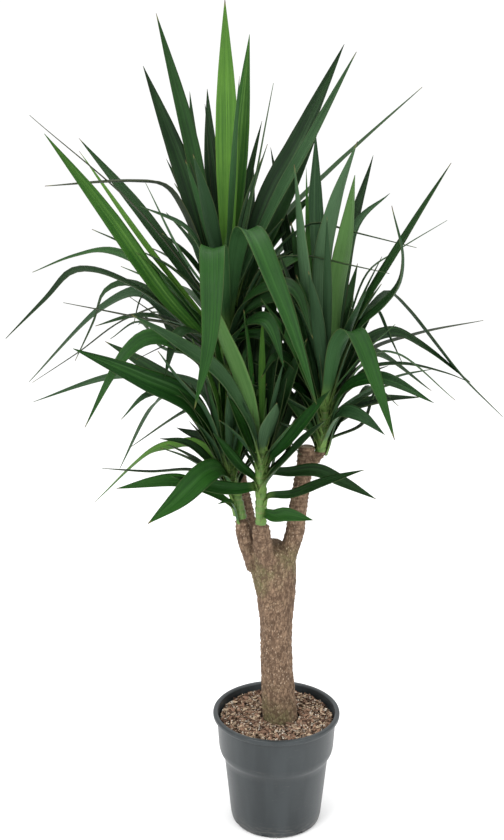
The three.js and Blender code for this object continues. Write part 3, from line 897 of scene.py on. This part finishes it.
# shoot, share of the way up it, width, turn about the blade's own line, tint, then the route:
# points (x, depth, z) laid out on the plant's middle plane as seen from EYE.  One row per CAD leaf.
LEAVES = [
    ("top", 0.95, 40, 0, B, (-88, 70, 1250), (-90, 90, 1487)),
    ("top", 0.90, 34, 10, B, (-68, 100, 1230), (-50, 150, 1432)),
    ("top", 0.80, 30, 50, D, (-150, 50, 1262), (-202, 70, 1465)),
    ("top", 0.70, 36, 60, D, (-160, 40, 1205), (-225, 80, 1383)),
    ("top", 0.10, 36, 75, B, (-196, -20, 1000), (-299, -80, 1150), (-392, -150, 1275)),
    ("top", 0.45, 24, 60, D, (-221, 90, 1130), (-335, 170, 1268)),
    ("top", 0.60, 26, 0, W, (-165, -10, 1150), (-195, -30, 1190), (-240, -50, 1197),
     (-395, -110, 1190)),
    ("top", 0.85, 28, 10, D, (-112, 120, 1200), (-120, 200, 1347)),
    ("top", 0.75, 36, 65, D, (-20, 50, 1170), (30, 70, 1262), (105, 90, 1417)),
    ("top", 0.65, 34, 70, G, (-10, -50, 1150), (56, -120, 1270), (125, -190, 1405)),
    ("top", 0.35, 41, 0, M, (-106, -80, 1072), (-113, -130, 1084), (-114, -165, 1046),
     (-120, -200, 925), (-148, -220, 803)),
    ("top", 0.40, 40, 0, M, (-62, -70, 1108), (-46, -120, 1112), (-6, -190, 1022),
     (31, -240, 926), (68, -270, 812)),
    ("top", 0.20, 26, 20, M, (-210, 100, 1040), (-290, 150, 1080), (-350, 180, 1072),
     (-423, 210, 1045)),
    ("top", 0.05, 26, 25, D, (-200, -30, 985), (-262, -70, 1026), (-320, -110, 1047),
     (-356, -130, 1044), (-400, -150, 1000), (-475, -180, 930)),
    ("top", 0.00, 30, 40, G, (-180, 70, 955), (-225, 100, 1005), (-248, 115, 1010), (-310, 150, 978),
     (-438, 200, 853)),
    ("top", 0.55, 22, 0, D, (0, 110, 1125), (90, 180, 1218), (235, 260, 1350)),
    ("top", 0.50, 40, 0, M, (-95, 140, 1110), (-100, 250, 1160), (-110, 350, 1110)),
    ("left", 0.95, 36, 45, M, (-135, -40, 880), (-190, -70, 925), (-225, -85, 930), (-262, -100, 905),
     (-343, -140, 770)),
    ("left", 0.60, 46, 65, M, (-155, -60, 812), (-240, -110, 858), (-358, -160, 912)),
    ("left", 0.75, 32, 55, D, (-150, 30, 815), (-225, 60, 878), (-302, 100, 925)),
    ("left", 0.85, 32, 35, D, (-130, -70, 800), (-178, -120, 860), (-210, -170, 908)),
    ("left", 0.45, 28, 30, G, (-150, 60, 798), (-190, 105, 828), (-215, 125, 815), (-283, 180, 695)),
    ("left", 0.35, 28, 30, B, (-110, 20, 710), (-152, 50, 740), (-180, 70, 737), (-225, 100, 725),
     (-330, 150, 632)),
    ("left", 0.15, 30, 35, M, (-120, -20, 648), (-180, -40, 670), (-290, -80, 657)),
    ("left", 0.50, 42, 50, M, (-105, -70, 692), (-130, -115, 685), (-180, -180, 635),
     (-235, -250, 590)),
    ("left", 0.80, 26, 35, G, (-130, 100, 835), (-220, 180, 862), (-290, 230, 862), (-432, 290, 817)),
    ("left", 0.65, 34, 0, M, (-85, 70, 760), (-80, 160, 820), (-70, 290, 770)),
    ("front", 0.98, 13, 60, B, (-29, -60, 870), (-28, -60, 977)),
    ("front", 0.90, 46, 5, B, (-60, -80, 830), (-97, -120, 930), (-132, -160, 1032)),
    ("front", 0.80, 34, 60, G, (-55, -95, 785), (-105, -130, 868), (-180, -170, 925),
     (-255, -210, 972)),
    ("front", 0.88, 40, 10, G, (-8, -85, 785), (-2, -100, 815)),
    ("front", 0.65, 34, 65, M, (20, -95, 745), (60, -140, 795), (92, -190, 838)),
    ("front", 0.45, 32, 50, D, (25, -120, 722), (82, -220, 782)),
    ("front", 0.30, 24, 40, D, (25, -65, 645), (85, -100, 668), (155, -140, 692)),
    ("front", 0.55, 26, 50, D, (20, -40, 687), (70, -40, 690), (115, -45, 670), (178, -50, 637)),
    ("front", 0.12, 26, 60, M, (-5, -70, 605), (20, -95, 607), (65, -120, 597)),
    ("front", 0.40, 30, 45, M, (-75, -70, 655), (-140, -110, 663), (-190, -150, 680)),
    ("right", 0.70, 28, 45, D, (140, -20, 970), (195, -60, 1068), (288, -110, 1228)),
    ("right", 0.60, 34, 50, D, (135, -30, 940), (185, -60, 990), (209, -80, 1025), (213, -90, 1075),
     (190, -100, 1157)),
    ("right", 0.65, 24, 20, D, (150, 50, 965), (192, 80, 1008), (215, 95, 990), (320, 150, 865),
     (398, 190, 790)),
    ("right", 0.40, 18, 0, W, (150, 80, 900), (240, 150, 937), (355, 230, 962)),
    ("right", 0.50, 26, 40, D, (150, 60, 920), (200, 90, 940), (245, 110, 920), (338, 160, 852)),
    ("right", 0.55, 40, 0, M, (106, -70, 920), (128, -115, 942), (143, -140, 920), (175, -180, 838),
     (208, -200, 747)),
    ("right", 0.25, 30, 45, M, (120, -35, 840), (180, -80, 858), (275, -140, 815)),
    ("right", 0.10, 24, 35, D, (120, 20, 800), (180, 40, 820), (248, 60, 826)),
    ("right", 0.15, 30, 40, G, (115, -50, 797), (145, -80, 790), (190, -120, 757)),
    ("right", 0.35, 26, 40, D, (130, 70, 890), (165, 120, 905), (270, 210, 837)),
    ("right", 0.90, 42, 15, B, (100, -10, 1000), (115, -40, 1100), (127, -80, 1208)),
    ("right", 0.85, 34, 5, G, (75, -40, 1050), (95, -80, 1160), (130, -120, 1263)),
    ("right", 0.95, 36, 5, G, (62, 50, 1080), (60, 80, 1276)),
    ("right", 0.80, 30, 20, G, (45, -50, 1020), (35, -80, 1110), (25, -110, 1225)),
    ("right", 0.75, 30, 60, D, (115, 70, 1090), (157, 130, 1240)),
    ("right", 0.60, 36, 0, M, (95, 90, 950), (110, 190, 1020), (130, 320, 980)),
]

# the lesser leaves between them, laid out in the same way
LESSER = [
    ("top", 0.80, 24, 60, D, (-145, 120, 1180), (-172, 170, 1280)),
    ("top", 0.80, 22, 70, G, (-138, 60, 1225), (-149, 90, 1343)),
    ("top", 0.30, 13, 40, B, (-229, 40, 1093), (-335, 70, 1247)),
    ("top", 0.50, 9, 20, W, (-230, -40, 1140), (-415, -90, 1305)),
    ("top", 0.60, 9, 0, G, (-170, -40, 1080), (-225, -60, 1195)),
    ("top", 0.30, 24, 50, G, (-150, -60, 1110), (-235, -110, 1157)),
    ("top", 0.50, 18, 60, D, (-150, 120, 1150), (-190, 170, 1235)),
    ("top", 0.15, 18, 30, M, (-220, -30, 1060), (-265, -50, 1092), (-318, -80, 1118)),
    ("top", 0.02, 11, 10, W, (-165, -20, 947), (-247, -50, 967), (-372, -90, 993)),
    ("top", 0.05, 9, 10, W, (-180, -40, 948), (-260, -80, 1005)),
    ("top", 0.10, 18, 40, D, (-170, 20, 985), (-215, 40, 1020), (-235, 50, 1005), (-252, 60, 955)),
    ("top", 0.02, 11, 10, W, (-170, 110, 985), (-263, 160, 965), (-350, 200, 905), (-432, 240, 852)),
    ("top", 0.10, 19, 30, D, (-190, 10, 990), (-262, 20, 1026), (-300, 25, 1010), (-320, 30, 960),
     (-356, 35, 890)),
    ("top", 0.60, 30, 60, D, (0, 80, 1150), (69, 120, 1292)),
    ("top", 0.80, 10, 0, G, (-48, 40, 1158), (-11, 60, 1356)),
    ("top", 0.70, 22, 70, D, (-52, 100, 1130), (-43, 150, 1222)),
    ("top", 0.25, 13, 0, D, (-20, -20, 1060), (45, -40, 1072), (117, -60, 1058), (190, -80, 1043)),
    ("top", 0.30, 16, 0, D, (0, 10, 1085), (45, -10, 1122), (65, -15, 1128), (130, -20, 1112),
     (235, -30, 1087)),
    ("top", 0.20, 34, 40, D, (-50, -40, 1000), (20, -80, 1020), (60, -110, 930)),
    ("top", 0.10, 34, 40, M, (-60, -60, 950), (-20, -110, 960), (10, -140, 880)),
    ("top", 0.15, 36, 30, D, (-40, 60, 1010), (40, 120, 1040), (90, 150, 950)),
    ("top", 0.02, 30, 20, D, (-130, -40, 930), (-170, -70, 940), (-200, -90, 860)),
    ("top", 0.05, 34, 20, D, (-60, 20, 930), (-10, 40, 940), (20, 50, 850)),
    ("left", 0.95, 8, 0, W, (-150, -50, 905), (-182, -60, 920), (-250, -80, 893)),
    ("left", 0.60, 26, 40, G, (-170, -60, 830), (-228, -90, 830), (-278, -120, 785)),
    ("left", 0.45, 20, 30, D, (-140, 50, 805), (-165, 60, 798), (-262, 110, 735)),
    ("left", 0.25, 16, 0, D, (-110, 40, 670), (-150, 50, 690), (-230, 60, 688), (-315, 70, 695)),
    ("left", 0.05, 16, 30, M, (-85, -40, 632), (-108, -50, 628)),
    ("left", 0.95, 34, 70, M, (-100, -30, 840), (-120, -50, 970)),
    ("left", 0.90, 30, 60, D, (-75, -20, 820), (-50, -30, 930)),
    ("left", 0.70, 30, 60, M, (-60, -40, 760), (-20, -60, 850)),
    ("left", 0.98, 26, 70, B, (-95, -20, 830), (-100, -20, 930)),
    ("front", 0.95, 30, 70, D, (-10, -60, 880), (20, -80, 980)),
    ("front", 0.85, 30, 60, D, (10, -50, 830), (50, -60, 930)),
    ("front", 0.90, 30, 70, M, (-50, -70, 860), (-60, -90, 980)),
    ("right", 0.80, 24, 70, D, (20, 90, 1080), (-15, 140, 1253)),
    ("right", 0.80, 12, 60, B, (50, 0, 1080), (45, 0, 1220)),
    ("right", 0.75, 22, 60, G, (128, 60, 1120), (187, 100, 1178)),
    ("right", 0.60, 6, 0, G, (150, 40, 1040), (200, 70, 1080), (285, 110, 1133)),
    ("right", 0.55, 18, 40, D, (150, 30, 960), (165, 35, 985), (192, 40, 935), (218, 45, 885)),
    ("right", 0.30, 12, 20, D, (150, 60, 872), (213, 90, 885), (293, 130, 869), (336, 160, 853)),
    ("right", 0.40, 9, 10, G, (160, -20, 900), (207, -40, 903), (313, -90, 820)),
    ("right", 0.05, 16, 20, D, (110, -10, 790), (168, -20, 815), (248, -40, 825)),
    ("right", 0.50, 34, 60, D, (40, -40, 950), (0, -60, 1080)),
    ("right", 0.40, 32, 60, M, (30, -60, 900), (-30, -90, 1000)),
    ("right", 0.30, 30, 50, D, (50, -30, 850), (0, -60, 900), (-30, -80, 860)),
    ("right", 0.20, 28, 40, M, (50, 30, 830), (10, 60, 880), (-30, 90, 850)),
    # the dark crowd in the middle, behind the hanging leaves
    ("top", 0.75, 34, 50, D, (-40, 70, 1120), (20, 110, 1230)),
    ("top", 0.65, 34, 40, D, (-30, 90, 1080), (60, 150, 1180)),
    ("top", 0.55, 36, 30, D, (-20, 60, 1040), (90, 120, 1110)),
    ("top", 0.45, 34, 20, M, (-30, 30, 1020), (40, 50, 1070), (120, 70, 1040)),
    ("top", 0.35, 36, 20, D, (-40, 60, 990), (30, 100, 1020), (110, 140, 960)),
    ("top", 0.28, 34, 30, D, (-50, 10, 980), (10, 20, 1000), (70, 30, 920)),
    ("top", 0.18, 34, 30, D, (-60, 80, 950), (0, 130, 960), (60, 170, 880)),
    ("top", 0.12, 32, 20, M, (-70, -10, 930), (-20, -30, 930), (30, -40, 850)),
    ("top", 0.08, 32, 30, D, (-70, 50, 900), (-30, 80, 890), (10, 110, 800)),
    ("top", 0.70, 30, 60, D, (-60, -40, 1150), (-30, -70, 1235)),
    ("top", 0.62, 30, 60, D, (-125, 70, 1150), (-150, 110, 1260)),
    ("top", 0.58, 30, 60, D, (-130, 100, 1120), (-165, 160, 1215)),
    ("right", 0.85, 32, 60, D, (60, 60, 1080), (55, 90, 1200)),
    ("right", 0.78, 32, 60, D, (50, 40, 1000), (20, 60, 1130)),
    ("right", 0.70, 34, 50, D, (40, 60, 960), (-10, 100, 1070)),
    ("right", 0.62, 32, 60, D, (60, -40, 960), (30, -70, 1040)),
    ("right", 0.55, 34, 40, D, (40, 50, 900), (-20, 80, 980)),
    ("right", 0.45, 34, 40, D, (40, 20, 870), (-10, 30, 920), (-50, 40, 930)),
    ("right", 0.35, 32, 30, D, (50, 80, 850), (10, 130, 890), (-40, 170, 860)),
    ("right", 0.25, 30, 30, M, (50, -10, 820), (20, -20, 850), (-20, -20, 840)),
    ("right", 0.75, 26, 60, D, (95, 40, 1010), (105, 60, 1120)),
    ("right", 0.65, 26, 50, D, (110, 50, 960), (135, 80, 1060)),
    ("left", 0.85, 28, 60, M, (-70, 30, 780), (-50, 50, 890)),
    ("left", 0.75, 26, 60, D, (-60, 20, 740), (-20, 40, 800)),
    ("left", 0.92, 28, 60, B, (-110, -50, 820), (-150, -80, 930)),
    ("left", 0.65, 28, 50, M, (-120, -50, 770), (-175, -80, 840)),
    ("left", 0.55, 26, 40, D, (-120, 50, 740), (-180, 90, 770)),
    ("left", 0.40, 24, 40, D, (-110, -40, 690), (-160, -70, 740), (-210, -90, 750)),
    ("front", 0.75, 28, 60, D, (-5, -60, 770), (15, -80, 860)),
    ("front", 0.70, 28, 60, M, (-60, -70, 760), (-90, -90, 830)),
    ("front", 0.50, 26, 50, M, (-70, -60, 700), (-115, -80, 760)),
    # and what closes the view between the shoots
    ("front", 0.80, 30, 60, D, (-52, 20, 860), (-62, 40, 1010)),
    ("front", 0.85, 30, 60, D, (-20, 30, 880), (-4, 60, 1030)),
    ("front", 0.75, 28, 60, D, (5, 20, 830), (45, 40, 960)),
    ("front", 0.60, 26, 60, D, (-5, 0, 750), (40, 20, 850)),
    ("front", 0.70, 26, 60, M, (-20, 10, 800), (12, 20, 930)),
    ("left", 0.90, 30, 60, D, (-82, 40, 830), (-66, 80, 990)),
    ("left", 0.90, 26, 60, D, (-110, 0, 820), (-140, 10, 940)),
    ("left", 0.80, 24, 60, D, (-92, 10, 800), (-112, 30, 905)),
    ("right", 0.30, 30, 50, D, (40, 40, 850), (-20, 60, 950)),
    ("right", 0.20, 28, 50, D, (35, 30, 800), (-30, 60, 890)),
    ("right", 0.15, 28, 50, D, (40, -20, 790), (-12, -40, 860)),
    ("right", 0.60, 28, 60, D, (62, 30, 940), (45, 50, 1060)),
    ("top", 0.20, 32, 40, D, (-60, 40, 990), (-10, 60, 1040)),
    ("top", 0.25, 32, 60, D, (-70, 60, 1030), (-30, 90, 1150)),
    ("top", 0.15, 36, 10, D, (-66, 70, 975), (-25, 110, 985), (30, 150, 940)),
    ("front", 0.90, 36, 0, D, (-44, 10, 850), (-42, 40, 950), (-36, 70, 1060)),
    ("front", 0.92, 34, 0, D, (-24, 0, 850), (-16, 30, 950), (-6, 60, 1050)),
    ("right", 0.05, 30, 0, D, (50, 40, 790), (34, 70, 900)),
    ("front", 0.72, 30, 0, D, (2, 10, 790), (34, 40, 890)),
]


@dataclass(frozen=True)
class Filling:
    """How one shoot is filled with inner leaves; lengths in millimetres."""

    count: int
    least: float
    most: float
    lowest: float  # share of the way up the shoot of the lowest foot
    clear: float  # share below which no point sinks


@dataclass
class Foliage:
    """All the leaves: one piece for each CAD leaf, and the lesser ones joined by tint."""

    finishes: dict[Tint, bpy.types.Material]
    fill: dict[str, Filling] = field(default_factory=lambda: {
        "top": Filling(46, 230, 380, 0.0, 0.1), "right": Filling(42, 190, 320, 0.1, 0.35),
        "left": Filling(22, 150, 240, 0.4, 0.7), "front": Filling(12, 130, 200, 0.55, 0.85)})
    golden: float = math.radians(137.5)
    lesser_seed: int = 300
    filling_seed: int = 900
    near: float = -0.255
    far: float = 0.335

    @staticmethod
    def spine(row: tuple) -> Spine:
        """Lays out a leaf's midrib from its row, with its foot wrapped round the shoot."""
        shoot, along, _, _, _, *points = row
        axis = SHOOTS[shoot]
        foot = axis.at(along)
        path = [((Vector((x, 0, z)) - EYE) * (1 + y / -EYE.y) + EYE) * MM for x, y, z in points]
        out = (path[0] - foot) * Vector((1, 1, 0))
        out = out.normalized() if out.length > 0.001 else Vector((0, 0, 0))
        start = foot + out * REACH * MM
        low = foot + out * axis.radius * 0.9 * MM - UP * CLASP * MM
        return Spine([low, start, *path])

    def named(self) -> None:
        """Makes the leaves that stand for the CAD's own."""
        counts: dict[str, int] = {}
        for number, row in enumerate(LEAVES):
            shoot, _, width, turn, tint = row[:5]
            counts[shoot] = counts.get(shoot, 0) + 1
            node = f"{shoot}_leaf_{counts[shoot]:02d}"
            bm = bmesh.new()
            Strap(self.spine(row), width * MM, turn, number).add_to(bm)
            leaf = settle_piece(f"{node}_blade", bm, [self.finishes[tint]])
            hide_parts(node)

    def _filling(self) -> list[tuple[Tint, Strap]]:
        """Grows the crowded inner leaves of each shoot by the golden angle."""
        chance = random.Random(41)
        straps = []
        for shoot, fill in self.fill.items():
            axis = SHOOTS[shoot]
            for i in range(fill.count):
                share = lerp(fill.lowest, 1.0, (i + 0.5) / fill.count)
                bearing = i * self.golden + chance.uniform(-0.25, 0.25)
                sideways = abs(math.cos(bearing))
                reach = lerp(fill.least, fill.most, chance.random()) * lerp(1.0, 0.62, sideways) * MM
                out = Vector((math.cos(bearing), math.sin(bearing), 0))
                rise = lerp(0.15, 1.32, share) + chance.uniform(-0.12, 0.12)
                fall = rise - lerp(0.75, 0.05, share) * chance.uniform(0.5, 1.1)
                lead = out * math.cos(rise) + UP * math.sin(rise)
                late = out * math.cos(fall) + UP * math.sin(fall)
                foot = axis.at(share)
                start = foot + out * REACH * MM
                low = foot + out * axis.radius * 0.9 * MM - UP * CLASP * MM
                bend = start + lead * reach * 0.5
                fold = bend + (lead + late).normalized() * reach * 0.2
                tip = fold + late * reach * 0.3
                least_z = axis.at(fill.clear).z + chance.uniform(0.0, 0.05)
                if tip.z < least_z:
                    tip.z = least_z
                    fold.z = max(fold.z, least_z + 0.03)
                for point in (bend, fold, tip):
                    point.y = min(max(point.y, self.near), self.far)
                line = Spine([low, start, bend, fold, tip])
                tint = (D, D, M, D, D, M)[i % 6]
                width = chance.uniform(15, 26) * MM * (1.0 if fill.most > 300 else 0.85)
                width *= 1.0 if share < 0.85 else 0.7
                turn = chance.uniform(-15, 15)
                if out.y > -0.45 or share > 0.7:  # lower ones towards the front would hide the cane
                    straps.append((tint, Strap(line, width, turn, self.filling_seed + len(straps))))
        return straps

    def lesser(self) -> None:
        """Makes the lesser leaves, one piece for each tint."""
        by_tint: dict[Tint, list[Strap]] = {tint: [] for tint in Tint}
        for number, row in enumerate(LESSER):
            strap = Strap(self.spine(row), row[2] * MM, row[3], self.lesser_seed + number,
                          stations=30)
            by_tint[row[4]].append(strap)
        for tint, strap in self._filling():
            strap.stations, strap.across = 28, 6
            by_tint[tint].append(strap)
        for tint, straps in by_tint.items():
            bm = bmesh.new()
            for strap in straps:
                strap.add_to(bm)
            settle_piece(f"inner_{tint.value.replace('leaf', 'leaves')}", bm,
                         [self.finishes[tint]])


@dataclass
class GreenShoot:
    """One living stem with its scar rings, leaf-foot collars and young spear leaves."""

    name: str
    axis: Shoot
    seed: int
    rings: int = 60
    around: int = 28
    spears: int = 6
    first_seed: int = 500
    girth: tuple[tuple[float, float], ...] = (
        (-0.03, 0.85), (0.05, 1.0), (0.6, 0.95), (0.95, 0.75), (1.05, 0.4))

    def _stem(self, bm: bmesh.types.BMesh) -> None:
        """Adds the ringed stem, drawn up from a circle ring by ring."""
        chart = bm.loops.layers.uv.get("UVMap") or bm.loops.layers.uv.new("UVMap")
        base = self.axis.at(-0.03)
        circle = bmesh.ops.create_circle(bm, cap_ends=True, segments=self.around,
                                         radius=self.axis.radius * MM * 0.7)["verts"]
        bmesh.ops.translate(bm, verts=circle, vec=base)
        edges = list({edge for vert in circle for edge in vert.link_edges})
        for k in range(1, self.rings + 1):
            share = lerp(-0.03, 1.05, k / self.rings)
            grown = bmesh.ops.extrude_edge_only(bm, edges=edges)["geom"]
            verts = [item for item in grown if isinstance(item, bmesh.types.BMVert)]
            edges = [item for item in grown if isinstance(item, bmesh.types.BMEdge)]
            centre = self.axis.at(share)
            collar = (k % 4) / 4.0
            wide = self.axis.radius * MM * (table(self.girth, share) * (0.93 + 0.13 * collar))
            for vert in verts:
                out = Vector((vert.co.x, vert.co.y, 0)) - Vector((centre.x, centre.y, 0))
                turn = math.atan2(out.y, out.x)
                lump = 1 + 0.05 * math.sin(2 * turn + self.seed + k // 4 * 2.4)
                vert.co = centre + Vector((math.cos(turn), math.sin(turn), 0)) * wide * lump
        bmesh.ops.holes_fill(bm, edges=edges, sides=0)
        low, high = self.axis.at(-0.03).z, self.axis.at(1.05).z
        for face in bm.faces:
            for loop in face.loops:
                out = loop.vert.co - self.axis.at(0.5)
                loop[chart].uv = ((loop.vert.co.z - low) / (high - low),
                                  abs(math.atan2(out.y, out.x)) / math.pi)
        bmesh.ops.recalc_face_normals(bm, faces=bm.faces)

    def build(self, stem: bpy.types.Material, blade: bpy.types.Material) -> None:
        """Makes the stem and its spear of young leaves.

        Args:
            stem: The stem's finish.
            blade: The young leaves' finish.
        """
        bm = bmesh.new()
        self._stem(bm)
        piece = settle_piece(f"{self.name}_stem", bm, [stem])
        young = bmesh.new()
        chance = random.Random(self.seed)
        for i in range(self.spears):
            bearing = i * 2.4 + self.seed
            out = Vector((math.cos(bearing), math.sin(bearing), 0))
            tall = (self.axis.at(1.4) - self.axis.at(0.9)).length * chance.uniform(0.8, 1.15)
            low = self.axis.at(0.86) + out * 0.004
            tip = low + UP * tall + out * tall * 0.12
            line = Spine([low, low.lerp(tip, 0.5) + out * 0.004, tip])
            Strap(line, chance.uniform(0.011, 0.016), math.degrees(bearing) + 90,
                  self.first_seed + i, stations=20, across=6).add_to(young)
        spear = settle_piece(f"{self.name}_spear", young, [blade])
        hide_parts(f"{self.name}_shoot")
        LOG.info("%s shoot finished with %s", self.name, spear.name)


# ------------------------------------------------------------------ studio
@dataclass(frozen=True)
class Studio:
    """Pale floor, soft light all round and the camera."""

    eye: Colour = (-0.046, -1.904, 1.248)
    pitch: float = 13.7
    lens: float = 47.4

    def floor(self) -> None:
        """Lays the pale floor."""
        paint = Paint("studio_floor")
        haze = paint.grain(paint.place(), 1.5, 2.0)
        finish = paint.finish(Base_Color=paint.blend(haze, (0.95, 0.95, 0.95), (0.98, 0.98, 0.98)),
                              Roughness=1.0, Specular_IOR_Level=0.0)
        bm = bmesh.new()
        bmesh.ops.create_circle(bm, cap_ends=True, segments=96, radius=60.0)
        mesh = bpy.data.meshes.new("studio_floor")
        bm.to_mesh(mesh)
        bm.free()
        mesh.materials.append(finish)
        ground = bpy.data.objects.new("studio_floor", mesh)
        bpy.context.scene.collection.objects.link(ground)

    def lamp(self, name: str, place: Colour, aim: Colour, size: float, power: float) -> None:
        """Hangs one soft box.

        Args:
            name: Its name.
            place: Where it hangs.
            aim: What it points at.
            size: Its side in metres.
            power: Its power in watts.
        """
        data = bpy.data.lights.new(name, "AREA")
        data.shape, data.size, data.energy = "SQUARE", size, power
        lamp = bpy.data.objects.new(name, data)
        lamp.location = place
        lamp.rotation_euler = (Vector(aim) - Vector(place)).to_track_quat("-Z", "Y").to_euler()
        bpy.context.scene.collection.objects.link(lamp)

    def build(self) -> None:
        """Sets the floor, lights and camera."""
        self.floor()
        world = bpy.data.worlds.new("soft_room")
        world.use_nodes = True
        sky = world.node_tree.nodes["Background"]
        sky.inputs["Color"].default_value = (1.0, 1.0, 1.0, 1.0)
        sky.inputs["Strength"].default_value = 1.06
        bpy.context.scene.world = world
        self.lamp("key_box", (-1.9, -2.2, 2.9), (0, 0, 0.8), 1.6, 75)
        self.lamp("fill_box", (2.2, -1.8, 1.8), (0, 0, 0.8), 1.6, 28)
        self.lamp("top_box", (0.1, 0.5, 3.4), (0, 0, 0.9), 1.8, 40)
        bpy.context.scene.view_settings.view_transform = "Standard"
        data = bpy.data.cameras.new("camera")
        data.sensor_fit, data.sensor_height, data.lens = "VERTICAL", 36.0, self.lens
        camera = bpy.data.objects.new("camera", data)
        camera.location = self.eye
        camera.rotation_euler = (math.radians(90 - self.pitch), 0, 0)
        bpy.context.scene.collection.objects.link(camera)
        bpy.context.scene.camera = camera


def main() -> None:
    """Builds the plant, its pot and the studio in order."""
    logging.basicConfig(level=logging.INFO, format="%(name)s: %(message)s")
    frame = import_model()
    leaf_finishes = {
        Tint.DEEP: BladeFinish("leaf_deep", (0.003, 0.013, 0.003), (0.017, 0.062, 0.011),
                               (0.028, 0.070, 0.028)).build(),
        Tint.MID: BladeFinish("leaf_mid", (0.005, 0.030, 0.004), (0.024, 0.095, 0.012),
                              (0.036, 0.100, 0.032)).build(),
        Tint.GREY: BladeFinish("leaf_grey", (0.011, 0.038, 0.012), (0.048, 0.108, 0.040),
                               (0.062, 0.125, 0.058)).build(),
        Tint.BRIGHT: BladeFinish("leaf_bright", (0.018, 0.078, 0.010), (0.092, 0.215, 0.026),
                                 (0.085, 0.180, 0.050)).build(),
        Tint.DRY: BladeFinish("leaf_drying", (0.006, 0.014, 0.006), (0.026, 0.044, 0.018),
                              (0.038, 0.052, 0.032)).build(),
    }
    NurseryPot().build(PlasticFinish().build())
    PottingMix().build()
    Trunk().build(frame, BarkFinish().build())
    stem = StemFinish().build()
    for number, (name, axis) in enumerate(SHOOTS.items()):
        GreenShoot(name, axis, number + 1).build(stem, leaf_finishes[Tint.BRIGHT])
    foliage = Foliage(leaf_finishes)
    foliage.named()
    foliage.lesser()
    Studio().build()


if __name__ == "__main__":
    main()
